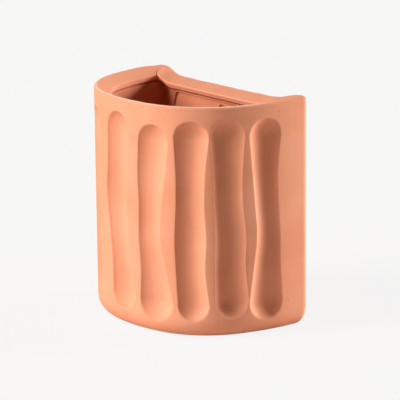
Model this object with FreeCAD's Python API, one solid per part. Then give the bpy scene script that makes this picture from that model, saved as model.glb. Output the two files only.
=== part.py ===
"""Wall planter in unglazed terracotta: a half-round fluted pot with a flat back.

Millimetres, +Z up. The origin is the centre of the footprint, on the surface the pot stands on.
The flat back faces +Y, towards the wall it hangs on, and the fluted front faces -Y.
"""
import FreeCAD
import Part
import math
import os

V = FreeCAD.Vector
UP = V(0, 0, 1)
BACK = V(0, 1, 0)

# Overall size of the fired clay body
body_width = 200.0
body_depth = 127.0
body_height = 208.0

# Plan of the curved front: straight flanks, flank arcs, round shoulders and a flatter front arc
flank_straight = 16.5
flank_arc_turn = 18.0
shoulder_r = 80.5
front_arc_turn = 24.0
back_corner_r = 7.0

# Section of the curved wall
wall_thickness = 14.0
wall_draft = 1.0
foot_round_r = 19.0
foot_land = 6.0
floor_cove_r = 9.0

# Rim strip: a bevel that falls inward from the crest and overhangs the wall as a lip
crest_r = 1.6
lip_run = 16.0
lip_drop = 7.5
lip_face = 4.2
lip_edge_r = 1.2

# Back wall, with a rim strip that dips between its two raised corners; the dip's starts and ends
# are measured inward from the corners
back_thickness = 10.0
back_lip_run = 20.0
back_dip_outer = 9.0
back_dip_inner = 5.2
back_dip_under = 4.3
dip_left_start = 0.0
dip_left_end = 32.0
dip_right_start = 5.0
dip_right_end = 55.0

# Floor
floor_thickness = 12.0
foot_recess = 3.0
drain_hole_r = 7.0

# Hanger slab, luted to the inside of the back wall, with the hole for the wall hook
slab_thickness = 7.0
slab_height = 45.0
slab_side_gap = 9.0
slab_side_lean = 18.0
slab_corner_r = 5.0
slab_lip_gap = 1.4
hang_hole_r = 4.0
hang_hole_drop = 9.5

# Rubber stopper, pushed up into the drain hole from below
plug_clearance = 0.05
plug_flange_r = 11.0
plug_flange_thickness = 2.0
plug_tip_stand = 3.0
plug_tip_taper = 1.5

# Gouged flutes. Each has its place as a share of half the outline, counted from the middle of the
# front towards +X, then the gap over its top to the rim strip, the height of its foot above the
# ground, and pairs (sway of its middle line, half width), evenly spaced from foot to top. The
# depth share is the depth under the straight line between a flute's edges, over its half width.
flute_depth_share = 0.44
flutes = {
    "far_left": (-0.743, 3.5, 15.0, [(0, 15.5), (-1, 13.5), (-2, 11.5), (0.5, 12), (1, 13), (1, 15)]),
    "left": (-0.524, 4.0, 17.0, [(-2, 15), (-1, 13.5), (0, 14), (1, 12.5), (0.5, 13.5), (0.5, 15)]),
    "near_left": (-0.305, 6.0, 19.0, [(0, 15), (0, 13.5), (-0.5, 13), (0.5, 13), (0.5, 14),
                                      (0.5, 15.5)]),
    "front_left": (-0.053, 2.5, 18.0, [(5.5, 16), (2.5, 13.5), (-1, 14), (-3.5, 15.5), (-1.5, 15),
                                       (0, 15.5)]),
    "front_right": (0.176, 8.0, 14.0, [(2.5, 17.5), (0, 14), (-4, 12), (-3, 12.5), (-1.5, 15),
                                       (1, 16)]),
    "near_right": (0.374, 3.0, 17.0, [(2, 14), (-0.5, 13), (-0.5, 14), (-0.5, 12.5), (0, 13),
                                      (1, 15.5)]),
    "right": (0.556, 0.8, 18.5, [(3, 15.5), (1.5, 14), (2, 14), (0, 13), (-0.5, 13.5),
                                 (-0.5, 16)]),
    "far_right": (0.746, 3.5, 14.5, [(0.5, 16.5), (1.5, 13.5), (3, 11.5), (1, 11.5), (-0.5, 12.5),
                                     (0, 15.5)]),
}
flute_end_angles = (20, 40, 62)

# Places that follow from the sizes above
back_y = body_depth / 2
half_width = body_width / 2
lip_slope = math.atan2(lip_drop, lip_run)
floor_top = foot_recess + floor_thickness
inner_foot = wall_draft + foot_round_r + foot_land
spare = 10.0
joint_overlap = 1.0


def plan_arcs():
    """Right half of the curved front: (centre, radius, start turn, end turn), flank to front."""
    flank, front = math.radians(flank_arc_turn), math.radians(90 - front_arc_turn / 2)
    reach = body_depth - flank_straight
    x_left = half_width - shoulder_r * (math.cos(flank) - math.cos(front))
    y_left = reach - shoulder_r * (math.sin(front) - math.sin(flank))
    det = (1 - math.cos(flank)) * (1 - math.sin(front)) - math.cos(front) * math.sin(flank)
    flank_r = (x_left * (1 - math.sin(front)) - y_left * math.cos(front)) / det
    front_r = ((1 - math.cos(flank)) * y_left - math.sin(flank) * x_left) / det
    flank_c = V(half_width - flank_r, back_y - flank_straight, 0)
    shoulder_c = flank_c + heading(flank) * (flank_r - shoulder_r)
    front_c = shoulder_c + heading(front) * (shoulder_r - front_r)
    return [(flank_c, flank_r, 0.0, flank), (shoulder_c, shoulder_r, flank, front),
            (front_c, front_r, front, math.pi / 2)]


def heading(turn):
    """Outward direction at a turn from +X towards -Y."""
    return V(math.cos(turn), -math.sin(turn), 0)


def mirrored(point):
    """The same point on the other side of the middle plane."""
    return V(-point.x, point.y, point.z)


def on_outline(arc_length):
    """Point and outward direction on the outline, by arc length from the middle of the front."""
    left = abs(arc_length)
    point, outward = None, None
    for centre, radius, start, end in reversed(plan_arcs()):
        span = radius * (end - start)
        if left <= span:
            outward = heading(end - left / radius)
            point = centre + outward * radius
            break
        left -= span
    if point is None:
        point, outward = V(half_width, back_y - flank_straight + left, 0), V(1, 0, 0)
    return (point, outward) if arc_length >= 0 else (mirrored(point), mirrored(outward))


def front_edges(inset=0.0):
    """Arcs of the curved front, moved inward, from the right flank round to the left flank."""
    half = [[centre + heading(turn) * (radius - inset) for turn in (start, (start + end) / 2, end)]
            for centre, radius, start, end in plan_arcs()]
    middle = [half[-1][0], half[-1][2], mirrored(half[-1][0])]
    other = [[mirrored(p) for p in reversed(points)] for points in reversed(half[:-1])]
    return [Part.Arc(*points).toShape() for points in half[:-1] + [middle] + other]


def outline_path():
    """Open path of the wall: down the right flank, round the front and up the left flank."""
    arcs = front_edges()
    start, end = V(half_width, back_y - flank_straight, 0), V(-half_width, back_y - flank_straight, 0)
    right = Part.makeLine(V(half_width, back_y, 0), start)
    left = Part.makeLine(end, V(-half_width, back_y, 0))
    return Part.Wire([right] + arcs + [left])


def swept(section):
    """A closed section in the XZ plane at the right flank's back end, swept round the outline."""
    sweep = Part.BRepOffsetAPI.MakePipeShell(outline_path())
    sweep.setBiNormalMode(UP)
    sweep.add(section)
    sweep.build()
    sweep.makeSolid()
    return sweep.shape()


def at(inset, z):
    """Point of a section, by its distance inward from the outline and its height."""
    return V(half_width - inset, back_y, z)


def arc_about(centre, radius, start, end):
    """Arc in a section, by centre, radius and angles from outward to up."""
    def on(angle):
        return centre + V(math.cos(angle), 0, math.sin(angle)) * radius
    return Part.Arc(on(start), on((start + end) / 2), on(end)).toShape()


def crest_centre():
    """Centre of the round crest in the wall's section."""
    return at(crest_r, body_height - crest_r)


def lip_edge_centre():
    """Centre of the round edge where the bevel turns down into the lip's face."""
    rise = V(-math.sin(lip_slope), 0, math.cos(lip_slope))
    start = crest_centre() + rise * crest_r
    x = half_width - lip_run + lip_edge_r
    length = (start.x - x - rise.x * lip_edge_r) / math.cos(lip_slope)
    z = start.z - length * math.sin(lip_slope) - rise.z * lip_edge_r
    return V(x, back_y, z)


def lip_bottom():
    """Height of the lip's underside, where the rim strip sits on the wall."""
    return lip_edge_centre().z + lip_edge_r - lip_face


def rim_section():
    """Section of the rim strip, from its joint with the wall over the crest to the lip."""
    crest, edge = crest_centre(), lip_edge_centre()
    over = math.pi / 2 + lip_slope
    crest_arc = arc_about(crest, crest_r, 0, over)
    edge_arc = arc_about(edge, lip_edge_r, over, math.pi)
    low = lip_bottom()
    return Part.Wire([
        Part.makeLine(at(0, low), at(0, crest.z)),
        crest_arc,
        Part.makeLine(crest_arc.lastVertex().Point, edge_arc.firstVertex().Point),
        edge_arc,
        Part.makeLine(at(lip_run, edge.z), at(lip_run, low)),
        Part.makeLine(at(lip_run, low), at(0, low)),
    ])


def wall_section():
    """Section of the curved wall, from its round foot up to the rim strip."""
    foot = arc_about(at(wall_draft + foot_round_r, foot_round_r), foot_round_r, -math.pi / 2, 0)
    cove = arc_about(at(wall_thickness + floor_cove_r, floor_top + floor_cove_r), floor_cove_r,
                     0, -math.pi / 2)
    top = lip_bottom()
    return Part.Wire([
        Part.makeLine(at(inner_foot, 0), at(wall_draft + foot_round_r, 0)),
        foot,
        Part.makeLine(at(wall_draft, foot_round_r), at(0, top)),
        Part.makeLine(at(0, top), at(wall_thickness, top)),
        Part.makeLine(at(wall_thickness, top), at(wall_thickness, floor_top + floor_cove_r)),
        cove,
        Part.makeLine(at(wall_thickness + floor_cove_r, floor_top), at(inner_foot, floor_top)),
        Part.makeLine(at(inner_foot, floor_top), at(inner_foot, 0)),
    ])


def prism(points, bottom, height):
    """Upright prism over a polygon given by (x, distance in front of the back face)."""
    corners = [V(x, back_y - ahead, bottom) for x, ahead in points]
    return Part.Face(Part.makePolygon(corners + corners[:1])).extrude(UP * height)


def mitred(depth):
    """Everything between the rim's two mitre planes at the back corners, to a depth."""
    k = lip_run / back_lip_run
    outer, inner = half_width + k * spare, half_width - k * depth
    return prism([(outer, -spare), (inner, depth), (-inner, depth), (-outer, -spare)],
                 -spare, body_height + 2 * spare)


def back_band():
    """Everything that lies within the back wall's thickness, for the butt joint with the front."""
    far = half_width + spare
    return prism([(-far, -spare), (-far, back_thickness), (far, back_thickness), (far, -spare)],
                 -spare, body_height + 2 * spare)


def s_ramp(start, end):
    """Two equal tangent arcs from one point to another, level at both ends, in an XZ plane."""
    run, drop = end.x - start.x, start.z - end.z
    side = math.copysign(1, drop)
    radius = (run ** 2 + drop ** 2) / (4 * abs(drop))
    middle = (start + end) * 0.5
    turn = math.atan2(abs(drop), abs(run))
    along = math.copysign(1, run)
    first = start + V(along * math.sin(turn), 0, -side * (1 - math.cos(turn))) * radius
    second = end - V(along * math.sin(turn), 0, -side * (1 - math.cos(turn))) * radius
    return [Part.Arc(start, first, middle).toShape(), Part.Arc(middle, second, end).toShape()]


def dip_curve(ahead, top, drop, left_start, right_start):
    """Line of the dipped back rim: level, down an S, level across the middle, and up again."""
    y = back_y - ahead
    far = half_width + spare
    a, b = V(-far, y, top), V(left_start - half_width, y, top)
    c, d = V(dip_left_end - half_width, y, top - drop), V(half_width - dip_right_end, y, top - drop)
    e, f = V(half_width - right_start, y, top), V(far, y, top)
    return ([Part.makeLine(a, b)] + s_ramp(b, c) + [Part.makeLine(c, d)] + s_ramp(d, e)
            + [Part.makeLine(e, f)])


def closed_off(edges, z):
    """Closed wire from a dip curve and a level line at the height z."""
    start, end = edges[0].firstVertex().Point, edges[-1].lastVertex().Point
    low, high = V(start.x, start.y, z), V(end.x, end.y, z)
    return Part.Wire(edges + [Part.makeLine(end, high), Part.makeLine(high, low),
                              Part.makeLine(low, start)])


def above_back_rim():
    """Space over the back rim's bevel, from behind the crest to in front of the lip."""
    inner_top = lip_edge_centre().z + lip_edge_r
    wires = []
    for ahead in (-spare, back_lip_run + spare):
        share = ahead / back_lip_run
        blend = [outer + (inner - outer) * share for outer, inner in (
            (body_height, inner_top), (back_dip_outer, back_dip_inner),
            (dip_left_start, lip_run), (dip_right_start, lip_run))]
        wires.append(closed_off(dip_curve(ahead, *blend), body_height + 3 * spare))
    return Part.makeLoft(wires, True, True)


def under_back_rim(z_far):
    """Prism between the back rim's underside and a level, right through from back to front."""
    edges = dip_curve(back_lip_run + spare, lip_bottom(), back_dip_under, lip_run, lip_run)
    return Part.Face(closed_off(edges, z_far)).extrude(BACK * (back_lip_run + 2 * spare))


def corner_trims():
    """What the round upright corners of the back take away, one block at each corner."""
    r = back_corner_r
    trims = []
    for side in (-1, 1):
        centre = V(side * (half_width - r), back_y - r, -spare)
        block = Part.makeBox(r + spare, r + spare, body_height + 2 * spare,
                             centre if side > 0 else centre - V(r + spare, 0, 0))
        trims.append(block.cut(Part.makeCylinder(r, body_height + 2 * spare, centre)))
    return trims


def half_outline():
    """Arc length from the middle of the front round to the back face."""
    return flank_straight + sum(radius * (end - start) for _, radius, start, end in plan_arcs())


def flute_circle(arc_length, height, half, share=1.0, lift=0.0):
    """Level circle through both edges of a flute, or a smaller one of the ball that ends it."""
    one_edge, other_edge = on_outline(arc_length - half)[0], on_outline(arc_length + half)[0]
    half_chord = (other_edge - one_edge).Length / 2
    depth = flute_depth_share * half
    radius = (half_chord ** 2 + depth ** 2) / (2 * depth)
    outward = on_outline(arc_length)[1]
    centre = (one_edge + other_edge) * 0.5
    centre += outward * (radius - depth - wall_draft * (1 - height / body_height))
    centre.z = height + lift * radius
    return Part.Wire(Part.makeCircle(radius * share, centre, UP))


def flute_cutter(place, top_gap, foot_rise, stations):
    """Gouge for one flute: circles that swell, narrow and sway up the wall, with ball ends."""
    low = foot_rise + stations[0][1]
    high = lip_bottom() - top_gap - stations[-1][1]
    step = (high - low) / (len(stations) - 1)
    levels = [(place * half_outline() + sway, low + step * i, half)
              for i, (sway, half) in enumerate(stations)]
    ends = [(math.cos(math.radians(a)), math.sin(math.radians(a))) for a in flute_end_angles]
    foot = [flute_circle(*levels[0], share, -lift) for share, lift in reversed(ends)]
    top = [flute_circle(*levels[-1], share, lift) for share, lift in ends]
    return Part.makeLoft(foot + [flute_circle(*level) for level in levels] + top, True, False)


def front_wall():
    """Curved wall with its round foot and gouged flutes, butted against the back wall."""
    wall = swept(wall_section()).cut(back_band())
    for flute in flutes.values():
        wall = wall.cut(flute_cutter(*flute))
    return wall


def front_rim():
    """Bevelled rim strip on the curved wall, mitred at the two back corners."""
    return swept(rim_section()).cut([mitred(back_lip_run + spare)] + corner_trims())


def back_wall():
    """Flat wall with round upright corners, its top following the dipped rim."""
    wall = swept(wall_section())
    for edge, low, high in ((half_width - inner_foot + joint_overlap, 0, floor_top),
                            (half_width - wall_thickness + joint_overlap, floor_top, body_height)):
        wall = wall.fuse(prism([(-edge, 0), (-edge, back_thickness), (edge, back_thickness),
                                (edge, 0)], low, high - low))
    wall = wall.common(back_band())
    return wall.cut([under_back_rim(body_height + spare), hang_hole()] + corner_trims())


def back_rim():
    """Bevelled rim strip on the back wall, dipped between the corners, overhanging inward."""
    bar = prism([(-half_width, 0), (-half_width, back_lip_run), (half_width, back_lip_run),
                 (half_width, 0)], 0, body_height)
    bar = bar.common(mitred(back_lip_run))
    return bar.cut([above_back_rim(), under_back_rim(-spare)] + corner_trims())


def drain_centre():
    """Foot of the drain's axis, midway between the insides of the front wall and the back wall."""
    return V(0, (wall_thickness - back_thickness) / 2, 0)


def floor_slab():
    """Floor between the walls, raised off the ground on the pot's foot, with a drain hole."""
    arcs = front_edges(inner_foot)
    start, end = arcs[0].firstVertex().Point, arcs[-1].lastVertex().Point
    y = back_y - back_thickness
    lines = [Part.makeLine(end, V(end.x, y, 0)), Part.makeLine(V(end.x, y, 0), V(start.x, y, 0)),
             Part.makeLine(V(start.x, y, 0), start)]
    slab = Part.Face(Part.Wire(arcs + lines)).extrude(UP * floor_thickness)
    slab.translate(UP * foot_recess)
    return slab.cut(Part.makeCylinder(drain_hole_r, floor_top + spare, drain_centre()))


def slab_top():
    """Height of the hanger slab's top edge, just under the back lip."""
    return lip_bottom() - back_dip_under - slab_lip_gap


def hang_hole():
    """Level round hole for the wall hook, through the back wall and the slab."""
    centre = V(0, back_y + spare, slab_top() - hang_hole_drop)
    return Part.makeCylinder(hang_hole_r, back_thickness + slab_thickness + 2 * spare, centre, -BACK)


def hanger_slab():
    """Thick slab behind the hook hole, wider at the foot, with rounded top corners."""
    top, y = slab_top(), back_y - back_thickness
    low_half = half_width - wall_thickness - slab_side_gap
    top_half = low_half - slab_side_lean
    corners = [V(-low_half, y, top - slab_height), V(low_half, y, top - slab_height),
               V(top_half, y, top), V(-top_half, y, top)]
    slab = Part.Face(Part.makePolygon(corners + corners[:1])).extrude(-BACK * slab_thickness)
    upright = [edge for edge in slab.Edges
               if abs(edge.CenterOfMass.z - top) < 1e-6 and abs(edge.CenterOfMass.x) > 1]
    return slab.makeFillet(slab_corner_r, upright).cut(hang_hole())


def drain_plug():
    """Rubber stopper: a flange under the floor, a plain neck in the hole and a tapered tip."""
    neck_r = drain_hole_r - plug_clearance
    foot = drain_centre() + UP * (foot_recess - plug_flange_thickness)
    flange = Part.makeCylinder(plug_flange_r, plug_flange_thickness, foot)
    neck = Part.makeCylinder(neck_r, floor_top - foot.z, foot)
    tip = Part.makeCone(neck_r, neck_r - plug_tip_taper, plug_tip_stand,
                        drain_centre() + UP * floor_top)
    return flange.fuse([neck, tip]).removeSplitter()


nodes = {
    "front_wall": front_wall,
    "front_rim": front_rim,
    "back_wall": back_wall,
    "back_rim": back_rim,
    "floor_slab": floor_slab,
    "hanger_slab": hanger_slab,
    "drain_plug": drain_plug,
}

if __name__ == "__main__":
    os.makedirs("parts", exist_ok=True)
    for name, make in nodes.items():
        shape = make()
        shape.exportStep("parts/" + name + ".step")
        print(name, len(shape.Solids), "solid", round(shape.Volume), "mm3")
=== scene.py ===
"""Wall planter in unglazed terracotta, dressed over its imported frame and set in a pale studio.

Metres, +Z up, in the frame of the construction model: the origin is the middle of the footprint,
the flat back faces +Y and the gouged front faces -Y. Every clay piece starts from the sizes that
the construction model names, so it lies where its own solid lies, but for its finer forms.
"""
import logging
import math
from collections.abc import Callable, Iterator, Sequence
from contextlib import contextmanager
from dataclasses import dataclass, field
from enum import Enum

import bmesh
import bpy
import numpy as np
from mathutils import Matrix, Vector


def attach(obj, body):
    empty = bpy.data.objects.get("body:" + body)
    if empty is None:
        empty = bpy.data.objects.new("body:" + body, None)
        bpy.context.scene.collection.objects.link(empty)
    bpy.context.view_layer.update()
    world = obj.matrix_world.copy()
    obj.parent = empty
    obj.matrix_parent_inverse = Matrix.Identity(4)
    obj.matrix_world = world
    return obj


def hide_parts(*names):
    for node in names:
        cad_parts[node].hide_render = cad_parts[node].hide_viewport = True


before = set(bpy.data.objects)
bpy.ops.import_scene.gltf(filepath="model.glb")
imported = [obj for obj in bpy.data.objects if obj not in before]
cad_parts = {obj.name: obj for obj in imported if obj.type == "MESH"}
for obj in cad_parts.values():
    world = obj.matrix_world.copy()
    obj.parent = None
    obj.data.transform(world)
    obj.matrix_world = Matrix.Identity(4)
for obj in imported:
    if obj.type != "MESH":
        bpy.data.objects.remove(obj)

LOG = logging.getLogger("wall_planter")
MM = 0.001
HAIR = 1e-5  # Distance that tells two faces apart, in metres
FACING = 0.9  # Least share of a normal along an axis for a face to look that way
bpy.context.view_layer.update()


class Body(Enum):
    """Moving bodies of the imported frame."""

    POT = "pot"
    STOPPER = "stopper"


class Slot(Enum):
    """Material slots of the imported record."""

    CLAY = "terracotta"
    RUBBER = "stopper_rubber"


class Side(Enum):
    """Side of the pot, as the sign of X."""

    LEFT = -1
    RIGHT = 1


# ---------------------------------------------------------------------------------------------
# Small helpers
# ---------------------------------------------------------------------------------------------


def linear(code: str) -> tuple[float, float, float, float]:
    """Turn an sRGB hex colour into the linear colour that a shader socket takes.

    Args:
        code: Colour as "#RRGGBB".

    Returns:
        Linear red, green, blue and an alpha of 1.
    """
    parts = [int(code[i:i + 2], 16) / 255 for i in (1, 3, 5)]
    light = [c / 12.92 if c <= 0.04045 else ((c + 0.055) / 1.055) ** 2.4 for c in parts]
    return (light[0], light[1], light[2], 1.0)


def add_node(tree: bpy.types.NodeTree, kind: str, settings: dict | None = None,
             **links: object) -> bpy.types.Node:
    """Add one node to a tree, with its settings, socket values and incoming links.

    Args:
        tree: Node tree that gets the node.
        kind: Blender's identifier of the node type.
        settings: Properties of the node itself, such as its operation.
        **links: A value or an output socket for each input, named by the input's name in lower
            case with underscores, or by "in_" and its number.

    Returns:
        The new node.
    """
    node = tree.nodes.new(kind)
    for name, value in (settings or {}).items():
        setattr(node, name, value)
    for name, value in links.items():
        if name.startswith("in_"):
            socket = node.inputs[int(name[3:])]
        else:
            wanted = name.replace("_", " ")
            socket = next(s for s in node.inputs if s.name.lower() == wanted and s.enabled)
        if isinstance(value, bpy.types.NodeSocket):
            tree.links.new(value, socket)
        else:
            socket.default_value = value
    return node


def smooth_step(low: float, high: float, value: np.ndarray) -> np.ndarray:
    """Ease from 0 to 1 between two values."""
    share = np.clip((value - low) / (high - low), 0.0, 1.0)
    return share * share * (3.0 - 2.0 * share)


def flowing(stations: Sequence[float], share: np.ndarray) -> np.ndarray:
    """Smooth line through evenly spaced values (Catmull-Rom).

    Args:
        stations: Values from the line's start to its end.
        share: Where to read the line, from 0 at its start to 1 at its end.

    Returns:
        The line's value at each share.
    """
    values = np.array([2 * stations[0] - stations[1], *stations, 2 * stations[-1] - stations[-2]])
    place = np.clip(share, 0.0, 1.0) * (len(stations) - 1)
    index = np.minimum(place.astype(int), len(stations) - 2)
    t = place - index
    a, b, c, d = (values[index + i] for i in range(4))
    return b + 0.5 * t * (c - a + t * (2 * a - 5 * b + 4 * c - d + t * (3 * (b - c) + d - a)))


def arc_points(centre: tuple[float, float], radius: float, start: float, end: float,
               steps: int) -> list[tuple[float, float]]:
    """Points along an arc of a section, both ends included.

    Args:
        centre: Inset and height of the arc's centre.
        radius: Radius of the arc.
        start: First angle in degrees, from outward (0) towards up (90) and inward (180).
        end: Last angle in degrees.
        steps: Number of straight steps.

    Returns:
        Points as (inset, height).
    """
    angles = [math.radians(start + (end - start) * i / steps) for i in range(steps + 1)]
    return [(centre[0] - radius * math.cos(a), centre[1] + radius * math.sin(a)) for a in angles]


def even_steps(start: tuple[float, float], end: tuple[float, float],
               steps: int) -> list[tuple[float, float]]:
    """Points that divide a straight run of a section, without its end."""
    return [(start[0] + (end[0] - start[0]) * i / steps, start[1] + (end[1] - start[1]) * i / steps)
            for i in range(steps)]


def bare_tree(owner: bpy.types.Material | bpy.types.World) -> bpy.types.NodeTree:
    """Switch a material or a world to nodes and empty its tree.

    Args:
        owner: Material or world that gets the tree.

    Returns:
        The empty node tree.
    """
    owner.use_nodes = True
    owner.node_tree.nodes.clear()
    return owner.node_tree


def piece_from(name: str, data: bpy.types.ID) -> bpy.types.Object:
    """Put a mesh, a camera or a light into the scene as an object at the origin.

    Args:
        name: Name of the object.
        data: What the object shows.

    Returns:
        The new object.
    """
    obj = bpy.data.objects.new(name, data)
    bpy.context.scene.collection.objects.link(obj)
    return obj


@contextmanager
def editing(mesh: bpy.types.Mesh) -> Iterator[bmesh.types.BMesh]:
    """Open a mesh for editing, and write it back at the end.

    Args:
        mesh: Mesh to edit.

    Yields:
        The mesh in edit form.
    """
    work = bmesh.new()
    work.from_mesh(mesh)
    yield work
    work.to_mesh(mesh)
    work.free()


def keep_values(mesh: bpy.types.Mesh, name: str, values: np.ndarray) -> None:
    """Keep a number or a vector for each point of a mesh.

    Args:
        mesh: Mesh that gets the attribute.
        name: Name of the attribute.
        values: One number for each point, or three.
    """
    vector = values.size == 3 * len(mesh.vertices)
    layer = mesh.attributes.new(name, "FLOAT_VECTOR" if vector else "FLOAT", "POINT")
    layer.data.foreach_set("vector" if vector else "value",
                           np.ascontiguousarray(values, dtype=np.float32).ravel())


def ring_mesh(name: str, loops: np.ndarray, rungs: int = 0) -> bpy.types.Mesh:
    """Closed mesh from section loops along a path, with a cap on each end.

    Args:
        name: Name of the mesh.
        loops: Array of shape (columns, section points, 3), the section closed on itself.
        rungs: Number of first points that face as many later ones across the section. The caps
            are then ladders between the two rows, and otherwise one face each.

    Returns:
        Mesh with its faces turned outwards.
    """
    columns, points = loops.shape[:2]
    index = np.arange(columns * points).reshape(columns, points)
    this, after = index[:-1], index[1:]
    quads = np.stack([this, np.roll(this, -1, 1), np.roll(after, -1, 1), after], -1).reshape(-1, 4)
    faces = quads.tolist()
    for ends, turn in ((index[0].tolist(), -1), (index[-1].tolist(), 1)):
        if rungs:
            across = (points - 2 * rungs) // 2
            far = ends[rungs + across:2 * rungs + across][::-1]
            caps = [[ends[i], ends[i + 1], far[i + 1], far[i]] for i in range(1, rungs - 2)]
            caps.append(ends[rungs - 2:rungs + across] + [far[-1], far[-2]])
            caps.append([ends[0], ends[1], far[1], far[0]] + ends[2 * rungs + across:])
        else:
            caps = [ends]
        faces += [cap[::turn] for cap in caps]
    mesh = bpy.data.meshes.new(name)
    mesh.from_pydata(loops.reshape(-1, 3).tolist(), [], faces)
    turn_outwards(mesh)
    return mesh


def turn_outwards(mesh: bpy.types.Mesh) -> None:
    """Point all faces of a closed mesh outwards."""
    with editing(mesh) as work:
        bmesh.ops.recalc_face_normals(work, faces=work.faces)


def shade(mesh: bpy.types.Mesh, crease: float) -> None:
    """Shade a mesh smooth, except over edges sharper than an angle in degrees."""
    mesh.shade_smooth()
    mesh.set_sharp_from_angle(angle=math.radians(crease))


def settle(obj: bpy.types.Object, crease: float) -> bpy.types.Object:
    """Turn an object with modifiers into a plain mesh object of the same name.

    Args:
        obj: Object whose modifiers give the finished shape.
        crease: Angle in degrees over which an edge stays sharp.

    Returns:
        New object with no modifier.
    """
    name = obj.name
    graph = bpy.context.evaluated_depsgraph_get()
    mesh = bpy.data.meshes.new_from_object(obj.evaluated_get(graph))
    bpy.data.objects.remove(obj)
    mesh.name = name
    shade(mesh, crease)
    return piece_from(name, mesh)


@dataclass(frozen=True)
class Clay:
    """The fired clay outside, and a darker, redder copy of it whose colour paints shade on the
    faces inside the pot.
    """

    outside: bpy.types.Material
    # Darker, redder copy of the clay, whose colour paints the shade inside the pot
    inside: bpy.types.Material


def paint_inside_shade(mesh: bpy.types.Mesh, within: Callable[[Vector, Vector], bool]) -> None:
    """Give the faces of a piece that line the pot the second finish, a darker clay that paints
    shade, once it is dressed.

    Args:
        mesh: Mesh of the piece.
        within: Test of a face's centre and normal.
    """
    for face in mesh.polygons:
        face.material_index = int(within(face.center, face.normal))


def hand_over(obj: bpy.types.Object, body: Body, slot: Slot,
              materials: Sequence[bpy.types.Material], *nodes: str) -> None:
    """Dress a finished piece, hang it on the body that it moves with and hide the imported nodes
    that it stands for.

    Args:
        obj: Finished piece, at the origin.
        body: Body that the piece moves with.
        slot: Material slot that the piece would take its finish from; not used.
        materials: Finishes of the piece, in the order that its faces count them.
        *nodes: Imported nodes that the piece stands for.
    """
    faces = obj.data.polygons
    chosen = np.empty(len(faces), np.int32)
    faces.foreach_get("material_index", chosen)
    obj.data.materials.clear()
    for material in materials:
        obj.data.materials.append(material)
    faces.foreach_set("material_index", np.minimum(chosen, len(materials) - 1))
    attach(obj, body.value)
    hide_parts(*nodes)
    LOG.info("%s: %d faces", obj.name, len(obj.data.polygons))


# ---------------------------------------------------------------------------------------------
# Finishes
# ---------------------------------------------------------------------------------------------


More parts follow.
